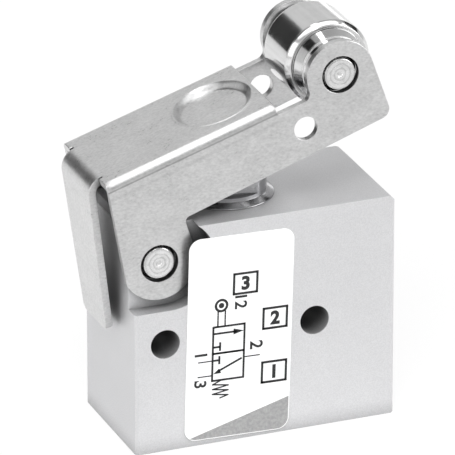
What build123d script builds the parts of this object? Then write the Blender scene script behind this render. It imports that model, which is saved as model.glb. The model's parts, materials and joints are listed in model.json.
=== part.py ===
"""Miniature 3/2 pneumatic valve, normally closed, worked by a roller lever.

The aluminium block stands upright. A stepped bore runs down it and holds, from the
bottom, a screwed plug, the inlet poppet with its spring, a pressed-in seat and the
plunger with its return spring under a screwed guide bush. A channel pressed from
sheet steel pivots on a pin across the block, presses the plunger with the dimple in
its web, and carries a roller at its tip.

Everything is drawn about the foot of the plunger's axis, with X towards the port
end, Y across the block and Z up, and moved to the part's own frame at the end, whose
origin is the middle of the block's base.
"""

import os
from math import cos, pi, radians, sin, tan

from build123d import *

# Block
axis_to_port_end = 16.0         # plunger's axis to the end face with the ports
axis_to_flap_end = 12.9         # plunger's axis to the end face behind the flap
block_thickness = 15.0
block_height = 24.75
edge_break = 0.3                # small chamfer on the block's edges
port_end_bevel = 0.55           # larger bevel along the top of the port end
rear_corner_radius = 1.0

# Mounting holes, through the block from side to side, for M3 screws
mounting_hole_radius = 1.6
mounting_hole_spacing = 16.6
mounting_hole_height = 12.1     # above the block's base
mounting_hole_x = 7.0           # the hole nearer the ports, from the plunger's axis

# Ports, M5 threads shown by their core bore
port_radius = 2.1
port_depth = 5.5
port_bevel = 0.35
passage_radius = 0.9
inlet_lead = 0.9                # bottom plug to the inlet passage
outlet_lead = 2.0               # seat insert to the outlet passage
outlet_port_drop = 7.75         # its axis below the top of the block
outlet_passage_drop = 1.1       # the outlet passage lies this far under its port's axis

# Recesses in both sides, where the lever's ears swing
recess_depth = 1.9
recess_cutter_radius = 5.0
recess_end_x = -8.95            # where the cutter stops

# Lever, in its own plane: u along the web, v square to it, from the pivot
pivot_x = -9.8
pivot_drop = 3.95               # below the top of the block
lever_rest_angle = 17.8
sheet = 0.8
bend_inner_radius = 0.2
ear_side_gap = 0.1              # between an ear and the floor of its recess
ear_radius = 4.05
web_height = 10.8               # outer face of the web above the pivot
web_start = -2.6
web_end = 16.9
lower_edge_v = 3.4              # lower edge of the side plates, at the pivot
lower_edge_slope = 1.65         # degrees to the web
ear_fillet = 0.6
notch_fillet = 0.9
boss_radius = 3.7
plate_end = 28.4
plate_corner_radius = 1.1
roller_u = 24.48
roller_above_web = 0.16         # roller's axis above the outer face of the web
sight_hole_u = 19.2
sight_hole_v = 7.0
sight_hole_radius = 1.28

# Dimple pressed down into the web, which bears on the plunger
dimple_u = 12.25
dimple_depth = 0.6
dimple_floor_radius = 3.25
dimple_rim_radius = 4.05
dimple_patch = 0.5              # width of web around the rim made with the dimple

# Flap, folded down from the web behind the block; it stops the lever lifting
flap_start = -2.35
flap_bend_radius = 1.8          # outside
flap_turn = 79.7                # degrees between the web and the flap
flap_length = 15.9
flap_half_width = 4.0
flap_tip_half_width = 3.25
flap_corner_radius = 0.8
flap_slit = 0.3                 # relief slit beside the flap's bend

# Pins
pin_radius = 2.0
pin_recess = 0.1                # how far a pin's end lies inside the lever's side
pin_chamfer = 0.22
pin_running_clearance = 0.05

# Roller and the two flanged bushes pressed into it
roller_radius = 4.7
roller_barrel_half_width = 2.8
roller_edge_radius = 4.3
roller_half_width = 3.35
roller_bore_radius = 2.9
roller_cheek_radius = 4.0
bush_flange_start = 3.6         # inner face of the flange, from the roller's middle
roller_bush_flange_radius = 3.9
roller_bush_hub_radius = 3.1
roller_bush_rim = 0.75          # straight rim of the flange before its cone
hub_side_gap = 0.2              # between a hub's end and the lever's side plate
roller_bush_depth = 2.6         # length of sleeve inside the roller

# Stepped bore in the block, heights above the base
plug_bore_radius = 4.0
plug_bore_top = 4.8
inlet_chamber_radius = 3.3
outlet_chamber_radius = 3.9
bush_bore_depth = 5.35          # below the top of the block
bush_thread_radius = 4.5

# Bottom plug
plug_bottom = 0.4
plug_shoulder = 3.7
plug_neck_radius = 2.9
plug_slot_width = 1.0
plug_slot_depth = 1.1
plug_spring_pocket_radius = 2.35
plug_spring_pocket_floor = 2.4

# Seat insert
seat_height = 2.6
seat_bore_radius = 1.9
seat_lip_drop = 0.4             # the lip stands out below the shoulder
seat_lip_radius = 2.4
seat_groove_height = 1.0
seat_groove_depth = 0.7

# Poppet
poppet_clearance = 0.03         # between the shut disc and the lip
disc_radius = 2.55
disc_thickness = 1.0
poppet_rim_radius = 2.9
poppet_rim_rise = 0.6           # height of disc held by the rim
poppet_floor = 0.9
poppet_spigot_radius = 1.2
poppet_spigot_length = 1.2

# Plunger
stem_radius = 1.5
stem_clearance = 0.05
stem_tip_radius = 1.4           # lower end, which passes through the seat
stem_bore_radius = 0.75
exhaust_gap = 1.0               # stem's lower end above the disc, at rest
dome_radius = 1.8
dome_gap = 0.1                  # square to the dimple, at rest
vent_radius = 0.5
vent_above_bush = 0.8           # middle of the vent hole
bore_end = 0.3                  # the stem's bore ends this far above the vent
collar_radius = 2.45
collar_thickness = 1.0
collar_top_gap = 0.15

# Guide bush
bush_nose_radius = 3.85
bush_nose_depth = 7.55          # below the top of the block
bush_flange_radius = 5.1
bush_cone_height = 0.5
bush_barrel_radius = 4.3
bush_rise = 5.45                # above the top of the block
bush_top_bevel = 0.4
bush_flat_half = 3.7            # half the distance across the spanner flats
bush_flat_above_flange = 0.95   # foot of the flats above the block's top
spring_chamber_radius = 2.65
spring_chamber_drop = 2.55      # below the top of the block
seal_pocket_radius = 2.5
seal_pocket_drop = 0.75         # below the top of the block
seal_washer_thickness = 0.5
bush_groove_lead = 0.6          # the bush's lower end to its groove
bush_groove_height = 1.0
bush_groove_depth = 0.7

# Seals and springs
plunger_seal_section = 0.47
small_ring_section = 0.34
plug_ring_section = 0.5
return_wire_radius = 0.25
return_coil_radius = 2.15
return_coils = 6
poppet_wire_radius = 0.2
poppet_coil_radius = 1.75
poppet_coils = 4
spring_straights = 14           # straights in each turn of a spring

# Label on the side of the block
label_width = 11.7
label_height = 22.7
label_thickness = 0.1
label_x = -1.25
label_middle_height = 11.8
label_turn = -1.6
label_corner_radius = 1.3

# Worked out from the values above
pivot_height = block_height - pivot_drop
roller_v = web_height + roller_above_web
bush_top = block_height + bush_rise
seal_pocket_top = block_height - seal_pocket_drop
spring_chamber_top = block_height - spring_chamber_drop
bush_bore_bottom = block_height - bush_bore_depth
bush_nose_bottom = block_height - bush_nose_depth
outlet_port_height = block_height - outlet_port_drop
inlet_port_height = plug_bore_top + inlet_lead + passage_radius
outlet_passage_height = outlet_port_height - outlet_passage_drop
seat_shoulder_height = outlet_passage_height - passage_radius - outlet_lead - seat_height
bush_groove_bottom = bush_nose_bottom + bush_groove_lead
half_thickness = block_thickness / 2
tongue_half = half_thickness - recess_depth
lever_inner_half = tongue_half + ear_side_gap
lever_half = lever_inner_half + sheet
bend_outer_radius = bend_inner_radius + sheet
web_underside = web_height - sheet
dimple_underside = web_underside - dimple_depth
seat_top = seat_shoulder_height + seat_height
lip_height = seat_shoulder_height - seat_lip_drop
disc_top = lip_height - poppet_clearance
hub_half = lever_inner_half - hub_side_gap


def turned(*outline):
    """Solid turned about the plunger's axis from (radius, height) points."""
    face = make_face(Polyline(*outline, close=True))
    return revolve(Plane.XZ * face, Axis.Z)


def across(*outline):
    """Solid turned about Y from (radius, distance from the middle plane) points."""
    return Rot(90, 0, 0) * turned(*outline)


def side_slab(face, low_y, high_y):
    """Face drawn in (X, Z), thickened from low_y to high_y."""
    slab = extrude(Plane.XZ * face, amount=-(high_y - low_y))
    return Pos(0, low_y, 0) * slab


def drill_y(x, z, radius, half_length):
    """Round hole through along Y."""
    return Pos(x, 0, z) * Rot(90, 0, 0) * Cylinder(radius, 2 * half_length)


def drill_x(start, end, z, radius):
    """Round hole along X from start to end, in the middle plane."""
    middle = (start + end) / 2
    return Pos(middle, 0, z) * Rot(0, 90, 0) * Cylinder(radius, abs(end - start))


def place_lever(shape):
    """Moves a shape drawn in the lever's own plane to its rest place."""
    return Pos(pivot_x, 0, pivot_height) * Rot(0, -lever_rest_angle, 0) * shape


def spring(coil_radius, wire_radius, coils, bottom, top):
    """Compression spring between two heights, as square wire bent in short straights."""
    rise = top - bottom - 2 * wire_radius
    count = coils * spring_straights
    points = []
    for step in range(count + 1):
        turn = 2 * pi * step / spring_straights
        height = bottom + wire_radius + rise * step / count
        points.append((coil_radius * cos(turn), coil_radius * sin(turn), height))
    path = Polyline(*points)
    section = Plane(origin=path @ 0, z_dir=path % 0) * RegularPolygon(wire_radius, 4)
    return sweep(section, path=path, transition=Transition.RIGHT)


def ring(middle_radius, section_radius, height):
    """O-ring about the plunger's axis, with its round section drawn as a hexagon."""
    section = Pos(middle_radius, height) * RegularPolygon(section_radius, 6)
    return revolve(Plane.XZ * section, Axis.Z)


def make_block():
    length = axis_to_port_end + axis_to_flap_end
    middle_x = (axis_to_port_end - axis_to_flap_end) / 2
    outline = Pos(middle_x, 0) * Rectangle(length, block_thickness)
    rear = outline.vertices().group_by(Axis.Y)[-1]
    outline = fillet(rear, rear_corner_radius)
    front = outline.vertices().group_by(Axis.Y)[0]
    outline = chamfer(front, edge_break)
    block = extrude(outline, block_height)
    end_face_edges = block.edges().filter_by(Axis.Y).group_by(Axis.X)[-1]
    block = chamfer(end_face_edges.sort_by(Axis.Z)[-1], port_end_bevel)

    recess = Pos(recess_end_x, pivot_height) * Circle(recess_cutter_radius)
    recess_length = recess_end_x + axis_to_flap_end + 1
    slot_middle = recess_end_x - recess_length / 2
    recess += Pos(slot_middle, pivot_height) * Rectangle(recess_length, 2 * recess_cutter_radius)
    mouth_height = block_height - pivot_height + 1
    mouth = Pos(slot_middle, pivot_height + mouth_height / 2)
    recess += mouth * Rectangle(recess_length, mouth_height)
    for low_y in (-half_thickness - 1, tongue_half):
        block -= side_slab(recess, low_y, low_y + recess_depth + 1)

    for hole_x in (mounting_hole_x, mounting_hole_x - mounting_hole_spacing):
        block -= drill_y(hole_x, mounting_hole_height, mounting_hole_radius, half_thickness + 1)
    block -= drill_y(pivot_x, pivot_height, pin_radius, half_thickness + 1)

    block -= turned(
        (0, -1),
        (plug_bore_radius, -1),
        (plug_bore_radius, plug_bore_top),
        (inlet_chamber_radius, plug_bore_top),
        (inlet_chamber_radius, seat_shoulder_height),
        (outlet_chamber_radius, seat_shoulder_height),
        (outlet_chamber_radius, bush_bore_bottom),
        (bush_thread_radius, bush_bore_bottom),
        (bush_thread_radius, block_height + 1),
        (0, block_height + 1),
    )
    ports = (
        (inlet_port_height, inlet_port_height, inlet_chamber_radius),
        (outlet_port_height, outlet_passage_height, outlet_chamber_radius),
    )
    for port_height, passage_height, chamber_radius in ports:
        port_bottom = axis_to_port_end - port_depth
        block -= drill_x(port_bottom, axis_to_port_end + 1, port_height, port_radius)
        block -= drill_x(chamber_radius - 0.5, port_bottom + 0.5, passage_height, passage_radius)
        mouth_edges = block.faces().sort_by(Axis.X)[-1].edges().filter_by(GeomType.CIRCLE)
        block = chamfer(mouth_edges.sort_by_distance((axis_to_port_end, 0, port_height))[0], port_bevel)
    return block


def make_bottom_plug():
    plug = turned(
        (0, plug_bottom),
        (plug_bore_radius - edge_break, plug_bottom),
        (plug_bore_radius, plug_bottom + edge_break),
        (plug_bore_radius, plug_shoulder),
        (plug_neck_radius, plug_shoulder),
        (plug_neck_radius, plug_bore_top),
        (plug_spring_pocket_radius, plug_bore_top),
        (plug_spring_pocket_radius, plug_spring_pocket_floor),
        (0, plug_spring_pocket_floor),
    )
    slot = Box(3 * plug_bore_radius, plug_slot_width, 2 * plug_slot_depth)
    return plug - Pos(0, 0, plug_bottom) * slot


def make_seat_insert():
    groove_floor = outlet_chamber_radius - seat_groove_depth
    groove_bottom = seat_shoulder_height + (seat_height - seat_groove_height) / 2
    groove_top = groove_bottom + seat_groove_height
    return turned(
        (seat_bore_radius, lip_height),
        (seat_lip_radius, lip_height),
        (seat_lip_radius + seat_lip_drop / 2, seat_shoulder_height),
        (outlet_chamber_radius, seat_shoulder_height),
        (outlet_chamber_radius, groove_bottom),
        (groove_floor, groove_bottom),
        (groove_floor, groove_top),
        (outlet_chamber_radius, groove_top),
        (outlet_chamber_radius, seat_top),
        (seat_bore_radius, seat_top),
    )


def make_poppet():
    rim_top = disc_top - (disc_thickness - poppet_rim_rise)
    floor_top = disc_top - disc_thickness
    floor_bottom = floor_top - poppet_floor
    return turned(
        (0, floor_bottom - poppet_spigot_length),
        (poppet_spigot_radius, floor_bottom - poppet_spigot_length),
        (poppet_spigot_radius, floor_bottom),
        (poppet_rim_radius, floor_bottom),
        (poppet_rim_radius, rim_top),
        (disc_radius, rim_top),
        (disc_radius, floor_top),
        (0, floor_top),
    )


def make_poppet_disc():
    return Pos(0, 0, disc_top - disc_thickness / 2) * Cylinder(disc_radius, disc_thickness)


def plunger_top():
    """Height of the dome's top, which leaves dome_gap square to the dimple."""
    angle = radians(lever_rest_angle)
    reach = -pivot_x
    underside = pivot_height + (dimple_underside + reach * sin(angle)) / cos(angle)
    return underside - (dome_radius + dome_gap) / cos(angle) + dome_radius


def make_plunger():
    top = plunger_top()
    tip = disc_top + exhaust_gap
    collar_top = spring_chamber_top - collar_top_gap
    collar_bottom = collar_top - collar_thickness
    dome_foot = top - dome_radius + (dome_radius**2 - stem_radius**2) ** 0.5
    dome_side = Vector(stem_radius, dome_foot)
    dome_middle = Vector(
        dome_radius * sin(radians(28)), top - dome_radius * (1 - cos(radians(28)))
    )
    outline = Polyline(
        (0, top),
        (0, tip),
        (stem_tip_radius, tip),
        (stem_tip_radius, collar_bottom),
        (collar_radius, collar_bottom),
        (collar_radius, collar_top),
        (stem_radius, collar_top),
        (stem_radius, dome_foot),
    )
    outline += ThreePointArc(dome_side, dome_middle, (0, top))
    plunger = revolve(Plane.XZ * make_face(outline), Axis.Z)
    vent_height = bush_top + vent_above_bush
    bore_length = vent_height + vent_radius + bore_end - tip
    plunger -= Pos(0, 0, tip + bore_length / 2) * Cylinder(stem_bore_radius, bore_length)
    return plunger - drill_y(0, vent_height, vent_radius, 2 * stem_radius)


def make_guide_bush():
    bore = stem_radius + stem_clearance
    groove_floor = bush_nose_radius - bush_groove_depth
    groove_top = bush_groove_bottom + bush_groove_height
    cone_top = block_height + bush_cone_height
    bush = turned(
        (spring_chamber_radius, bush_nose_bottom),
        (bush_nose_radius, bush_nose_bottom),
        (bush_nose_radius, bush_groove_bottom),
        (groove_floor, bush_groove_bottom),
        (groove_floor, groove_top),
        (bush_nose_radius, groove_top),
        (bush_nose_radius, bush_bore_bottom),
        (bush_thread_radius, bush_bore_bottom),
        (bush_thread_radius, block_height),
        (bush_flange_radius, block_height),
        (bush_barrel_radius, cone_top),
        (bush_barrel_radius, bush_top - bush_top_bevel),
        (bush_barrel_radius - bush_top_bevel, bush_top),
        (bore, bush_top),
        (bore, seal_pocket_top),
        (seal_pocket_radius, seal_pocket_top),
        (seal_pocket_radius, spring_chamber_top),
        (spring_chamber_radius, spring_chamber_top),
    )
    flat_foot = block_height + bush_flat_above_flange
    flat_height = bush_top - flat_foot + 1
    for side in (-1, 1):
        cutter = Box(3 * bush_barrel_radius, bush_barrel_radius, flat_height)
        middle_y = side * (bush_flat_half + bush_barrel_radius / 2)
        bush -= Pos(0, middle_y, flat_foot + flat_height / 2) * cutter
    return bush


def make_seal_washer():
    bore = stem_radius + 2 * stem_clearance
    middle = spring_chamber_top + seal_washer_thickness / 2
    washer = Cylinder(seal_pocket_radius, seal_washer_thickness)
    washer -= Cylinder(bore, seal_washer_thickness)
    return Pos(0, 0, middle) * washer


def side_plate_outline():
    """One side of the lever in (u, v): ear, plate and the boss round the roller pin."""
    slope = tan(radians(lower_edge_slope))
    top = web_height - bend_outer_radius
    lean = radians(9.5)
    ear_left = (-ear_radius * cos(lean), ear_radius * sin(lean))
    plate = make_face(
        Polyline(
            ear_left,
            (web_start, top),
            (roller_u - boss_radius, top),
            (roller_u - boss_radius, roller_v),
            (roller_u + boss_radius, roller_v),
            (plate_end, lower_edge_v + plate_end * slope),
            (ear_radius, lower_edge_v + ear_radius * slope),
            (ear_radius, 0),
            (0, 0),
            close=True,
        )
    )
    corners = (
        ((roller_u - boss_radius, top), notch_fillet),
        ((ear_radius, lower_edge_v + ear_radius * slope), ear_fillet),
        ((plate_end, lower_edge_v + plate_end * slope), plate_corner_radius),
    )
    plate = Sketch() + plate
    for corner, radius in corners:
        nearest = plate.vertices().sort_by_distance((corner[0], corner[1], 0))[0]
        plate = fillet(nearest, radius)
    plate += Circle(ear_radius)
    plate += Pos(roller_u, roller_v) * Circle(boss_radius)
    plate -= Circle(pin_radius + pin_running_clearance)
    plate -= Pos(roller_u, roller_v) * Circle(pin_radius)
    plate -= Pos(sight_hole_u, sight_hole_v) * Circle(sight_hole_radius)
    return plate


def make_web():
    """Web with its two bends, and the dimple, in the lever's own plane."""
    leg = web_height - bend_outer_radius
    outer = Pos(0, leg / 2 + web_height / 2) * Rectangle(2 * lever_half, bend_outer_radius)
    outer = fillet(outer.vertices().group_by(Axis.Y)[-1], bend_outer_radius * 0.999)
    inner = Pos(0, leg + bend_inner_radius / 2)
    inner = inner * Rectangle(2 * lever_inner_half, bend_inner_radius)
    inner = fillet(inner.vertices().group_by(Axis.Y)[-1], bend_inner_radius * 0.999)
    section = Plane.YZ * (outer - inner)
    web = Pos(web_start, 0, 0) * extrude(section, web_end - web_start)
    patch_radius = dimple_rim_radius + dimple_patch
    web -= Pos(dimple_u, 0, web_underside + sheet / 2) * Cylinder(patch_radius, 3 * sheet)
    wall_shift = sheet * tan(radians(18))
    dish = turned(
        (0, web_height - dimple_depth),
        (dimple_floor_radius, web_height - dimple_depth),
        (dimple_rim_radius, web_height),
        (patch_radius, web_height),
        (patch_radius, web_underside),
        (dimple_rim_radius + wall_shift, web_underside),
        (dimple_floor_radius + wall_shift, dimple_underside),
        (0, dimple_underside),
    )
    web += Pos(dimple_u, 0, 0) * dish
    relief_length = flap_start - web_start
    relief = Box(relief_length, 2 * (flap_half_width + flap_slit), 3 * sheet)
    return web - Pos(web_start + relief_length / 2, 0, web_height - sheet / 2) * relief


def make_flap():
    """Bend and tongue behind the block, in the lever's own plane."""
    inner_radius = flap_bend_radius - sheet
    turn = radians(flap_turn)
    centre = Vector(flap_start, web_height - flap_bend_radius)

    def around(radius, angle):
        return centre + Vector(-radius * sin(angle), radius * cos(angle))

    down = Vector(-cos(turn), -sin(turn))
    outer_start, outer_end = around(flap_bend_radius, 0), around(flap_bend_radius, turn)
    inner_start, inner_end = around(inner_radius, 0), around(inner_radius, turn)
    outline = ThreePointArc(outer_start, around(flap_bend_radius, turn / 2), outer_end)
    outline += Polyline(
        outer_end, outer_end + down * flap_length, inner_end + down * flap_length, inner_end
    )
    outline += ThreePointArc(inner_end, around(inner_radius, turn / 2), inner_start)
    outline += Line(inner_start, outer_start)
    strip = side_slab(make_face(outline), -flap_half_width, flap_half_width)

    tongue = make_face(
        Polyline(
            (-flap_half_width, 0),
            (-flap_tip_half_width, flap_length),
            (flap_tip_half_width, flap_length),
            (flap_half_width, 0),
            (flap_half_width, -2 * flap_bend_radius),
            (-flap_half_width, -2 * flap_bend_radius),
            close=True,
        )
    )
    tongue = Sketch() + tongue
    tongue = fillet(tongue.vertices().group_by(Axis.Y)[-1], flap_corner_radius)
    flat = Plane(
        origin=(outer_end.X, 0, outer_end.Y), x_dir=(0, 1, 0), z_dir=(-sin(turn), 0, cos(turn))
    )
    trim = extrude(flat * tongue, 2 * flap_bend_radius, both=True)
    return strip & trim


def make_lever():
    plate = side_plate_outline()
    lever = make_web() + make_flap()
    lever += side_slab(plate, lever_inner_half, lever_half)
    lever += side_slab(plate, -lever_half, -lever_inner_half)
    return place_lever(lever)


def make_pin():
    """Ground pin with chamfered ends."""
    half = lever_half - pin_recess
    return across(
        (0, -half),
        (pin_radius - pin_chamfer, -half),
        (pin_radius, -half + pin_chamfer),
        (pin_radius, half - pin_chamfer),
        (pin_radius - pin_chamfer, half),
        (0, half),
    )


def make_roller():
    roller = across(
        (roller_bore_radius, -roller_half_width + sheet / 2),
        (roller_cheek_radius, -roller_half_width),
        (roller_edge_radius, -roller_half_width),
        (roller_radius, -roller_barrel_half_width),
        (roller_radius, roller_barrel_half_width),
        (roller_edge_radius, roller_half_width),
        (roller_cheek_radius, roller_half_width),
        (roller_bore_radius, roller_half_width - sheet / 2),
    )
    return place_lever(Pos(roller_u, 0, roller_v) * roller)


def make_roller_bushes():
    """Two flanged bushes pressed into the roller, one from each side."""
    bore = pin_radius + pin_running_clearance
    flange_start = roller_half_width - sheet / 2
    rim_end = flange_start + roller_bush_rim
    bushes = Part()
    for side in (1, -1):
        bushes += across(
            (bore, side * (flange_start - roller_bush_depth)),
            (roller_bore_radius, side * (flange_start - roller_bush_depth)),
            (roller_bore_radius, side * flange_start),
            (roller_bush_flange_radius, side * bush_flange_start),
            (roller_bush_flange_radius, side * rim_end),
            (roller_bush_hub_radius, side * hub_half),
            (bore, side * hub_half),
        )
    return place_lever(Pos(roller_u, 0, roller_v) * bushes)


def make_label():
    label = Rectangle(label_width, label_height)
    label = fillet(label.vertices(), label_corner_radius)
    label = Pos(label_x, label_middle_height) * Rot(0, 0, label_turn) * label
    return side_slab(label, -half_thickness - label_thickness, -half_thickness)


def make_all():
    seat_ring_radius = outlet_chamber_radius - small_ring_section
    seat_ring_height = seat_shoulder_height + seat_height / 2
    bush_ring_height = bush_groove_bottom + bush_groove_height / 2
    plug_ring_radius = plug_bore_radius - plug_ring_section
    plug_ring_height = (plug_shoulder + plug_bore_top) / 2
    seal_height = seal_pocket_top - plunger_seal_section
    plunger_seal_radius = seal_pocket_radius - plunger_seal_section
    poppet_underside = disc_top - disc_thickness - poppet_floor
    collar_bottom = spring_chamber_top - collar_top_gap - collar_thickness
    pin = make_pin()
    return {
        "valve_block": make_block(),
        "bottom_plug": make_bottom_plug(),
        "plug_o_ring": ring(plug_ring_radius, plug_ring_section, plug_ring_height),
        "seat_insert": make_seat_insert(),
        "seat_o_ring": ring(seat_ring_radius, small_ring_section, seat_ring_height),
        "poppet": make_poppet(),
        "poppet_disc": make_poppet_disc(),
        "poppet_spring": spring(
            poppet_coil_radius,
            poppet_wire_radius,
            poppet_coils,
            plug_spring_pocket_floor,
            poppet_underside,
        ),
        "plunger": make_plunger(),
        "return_spring": spring(
            return_coil_radius, return_wire_radius, return_coils, seat_top, collar_bottom
        ),
        "guide_bush": make_guide_bush(),
        "bush_o_ring": ring(seat_ring_radius, small_ring_section, bush_ring_height),
        "plunger_seal": ring(plunger_seal_radius, plunger_seal_section, seal_height),
        "seal_washer": make_seal_washer(),
        "pivot_pin": Pos(pivot_x, 0, pivot_height) * pin,
        "roller_lever": make_lever(),
        "roller_pin": place_lever(Pos(roller_u, 0, roller_v) * pin),
        "roller": make_roller(),
        "roller_bushes": make_roller_bushes(),
        "port_label": make_label(),
    }


def main():
    os.makedirs("parts", exist_ok=True)
    block_middle_x = (axis_to_port_end - axis_to_flap_end) / 2
    to_part_frame = Pos(-block_middle_x, 0, 0)
    for name, shape in make_all().items():
        export_step(to_part_frame * shape, f"parts/{name}.step")


main()
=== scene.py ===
import json
from math import cos, pi, radians, sin, tan

import bmesh
import bpy
import numpy as np
from mathutils import Matrix, Vector
from mathutils.geometry import delaunay_2d_cdt


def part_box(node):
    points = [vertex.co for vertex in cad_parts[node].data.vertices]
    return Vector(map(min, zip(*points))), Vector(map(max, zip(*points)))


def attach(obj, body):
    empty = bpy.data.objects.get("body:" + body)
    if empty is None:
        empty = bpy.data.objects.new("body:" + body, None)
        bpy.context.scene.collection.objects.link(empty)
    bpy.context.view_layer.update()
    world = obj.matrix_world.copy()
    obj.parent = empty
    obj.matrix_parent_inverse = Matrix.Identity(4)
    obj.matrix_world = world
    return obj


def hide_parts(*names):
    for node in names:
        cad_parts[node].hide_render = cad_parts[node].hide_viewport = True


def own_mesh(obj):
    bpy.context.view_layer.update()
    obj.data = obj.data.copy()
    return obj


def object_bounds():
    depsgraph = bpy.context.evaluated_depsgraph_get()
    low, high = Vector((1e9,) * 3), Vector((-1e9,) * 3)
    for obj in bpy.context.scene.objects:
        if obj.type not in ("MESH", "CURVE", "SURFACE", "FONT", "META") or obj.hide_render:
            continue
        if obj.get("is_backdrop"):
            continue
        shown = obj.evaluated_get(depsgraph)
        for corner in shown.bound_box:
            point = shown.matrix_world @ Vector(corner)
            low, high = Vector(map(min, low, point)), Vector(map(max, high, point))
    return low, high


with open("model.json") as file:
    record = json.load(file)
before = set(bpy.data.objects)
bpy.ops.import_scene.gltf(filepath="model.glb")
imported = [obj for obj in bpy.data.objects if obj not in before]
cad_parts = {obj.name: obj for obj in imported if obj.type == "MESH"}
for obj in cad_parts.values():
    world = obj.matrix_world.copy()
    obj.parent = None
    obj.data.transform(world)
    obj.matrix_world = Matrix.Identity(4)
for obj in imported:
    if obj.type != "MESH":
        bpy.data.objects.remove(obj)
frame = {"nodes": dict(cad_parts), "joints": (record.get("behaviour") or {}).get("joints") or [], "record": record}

bl_info = {
    "name": "Roller lever valve",
    "version": (1, 0, 0),
    "blender": (4, 5, 0),
    "location": "View3D > Sidebar > Valve",
    "description": "Dresses the packed model of a miniature pneumatic valve with a roller lever",
    "category": "Add Mesh",
}

mm = 0.001
cad_low, cad_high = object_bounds()
joint_place = {joint["name"]: joint.get("pos_m") for joint in frame["joints"]}
pivot = np.array(joint_place["lever_pivot"])
roller_axis = np.array(joint_place["roller_spin"])
block_low, block_high = (np.array(corner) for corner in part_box("valve_block"))
label_low, label_high = (np.array(corner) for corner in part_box("port_label"))
bush_low, bush_high = (np.array(corner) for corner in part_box("guide_bush"))
plunger_axis_x = (bush_low[0] + bush_high[0]) / 2


# Sizes and colours that a user would change


def length(name, description, default):
    """A length property in metres."""
    return bpy.props.FloatProperty(
        name=name,
        description=description,
        default=default,
        min=0.0,
        precision=5,
        subtype="DISTANCE",
        unit="LENGTH",
    )


def colour(name, description, default):
    """A colour property without transparency."""
    return bpy.props.FloatVectorProperty(
        name=name, description=description, default=default, min=0.0, max=1.0, subtype="COLOR"
    )


class ValveSizes(bpy.types.PropertyGroup):
    """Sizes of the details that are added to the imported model."""

    sheet: length("Lever sheet", "Thickness of the lever's sheet", 0.8 * mm)
    sheet_edge: length("Sheet edge", "Rounding along the lever's cut edges", 0.07 * mm)
    dimple_depth: length("Dimple depth", "Depth of the dimple over the plunger", 0.6 * mm)
    block_edge: length("Block edge", "Rounding along the block's edges", 0.1 * mm)
    pin_groove: length("Pin groove", "Width of the groove round a pin's end", 0.3 * mm)
    print_line: length("Print line", "Width of the label's printed lines", 0.17 * mm)
    thread_depth: length("Thread depth", "Depth of the thread in the ports", 0.12 * mm)
    rest_angle: bpy.props.FloatProperty(
        name="Rest angle",
        description="Slope of the lever's web at rest",
        default=radians(17.8),
        subtype="ANGLE",
        unit="ROTATION",
    )


class ValveColours(bpy.types.PropertyGroup):
    """Colours of the metals, rubber, film and ink."""

    aluminium: colour("Aluminium", "Anodised block", (0.72, 0.72, 0.73))
    zinc: colour("Zinc", "Plated sheet of the lever", (0.7, 0.7, 0.7))
    polished: colour("Polished steel", "Roller and its flanges", (0.78, 0.78, 0.78))
    ground: colour("Ground steel", "Pins", (0.88, 0.88, 0.88))
    turned: colour("Turned steel", "Guide bush and plunger", (0.46, 0.46, 0.47))
    brass: colour("Brass", "Plug, seat and poppet", (0.66, 0.5, 0.24))
    wire: colour("Wire", "Spring wire", (0.42, 0.42, 0.43))
    rubber: colour("Rubber", "Seals", (0.02, 0.02, 0.02))
    film: colour("Film", "Label film", (0.93, 0.93, 0.93))
    ink: colour("Ink", "Black print", (0.012, 0.012, 0.013))
    grey_ink: colour("Grey ink", "Grey corner of the label", (0.3, 0.3, 0.3))
    floor: colour("Floor", "Studio floor", (0.9, 0.9, 0.9))


def sizes():
    return bpy.context.scene.valve_sizes


def colours():
    return bpy.context.scene.valve_colours


# Surfaces


def add_mesh(name, points, faces, body, finish, stands_for=(), sharp=32.0):
    """Closed mesh from points and faces: doubles merged, faces turned outwards, and
    edges sharper than the given angle kept sharp."""
    mesh = bpy.data.meshes.new(name)
    mesh.from_pydata(np.asarray(points).tolist(), [], faces)
    work = bmesh.new()
    work.from_mesh(mesh)
    bmesh.ops.remove_doubles(work, verts=work.verts, dist=2e-7)
    bmesh.ops.dissolve_degenerate(work, edges=work.edges, dist=1e-8)
    bmesh.ops.recalc_face_normals(work, faces=work.faces)
    work.to_mesh(mesh)
    work.free()
    mesh.polygons.foreach_set("use_smooth", np.ones(len(mesh.polygons), dtype=bool))
    mesh.set_sharp_from_angle(angle=radians(sharp))
    mesh.materials.append(finish)
    piece = bpy.data.objects.new(name, mesh)
    bpy.context.scene.collection.objects.link(piece)
    if body:
        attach(piece, body)
    if stands_for:
        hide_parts(*stands_for)
    return piece


def grid_faces(rows, columns, closed_rows=False, closed_columns=False, start=0):
    """Quads over a grid of points numbered row by row."""
    row = np.arange(rows if closed_rows else rows - 1)
    column = np.arange(columns if closed_columns else columns - 1)
    row, column = np.meshgrid(row, column, indexing="ij")
    next_row, next_column = (row + 1) % rows, (column + 1) % columns
    corners = (
        row * columns + column,
        row * columns + next_column,
        next_row * columns + next_column,
        next_row * columns + column,
    )
    return (start + np.stack(corners, -1).reshape(-1, 4)).tolist()


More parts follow.
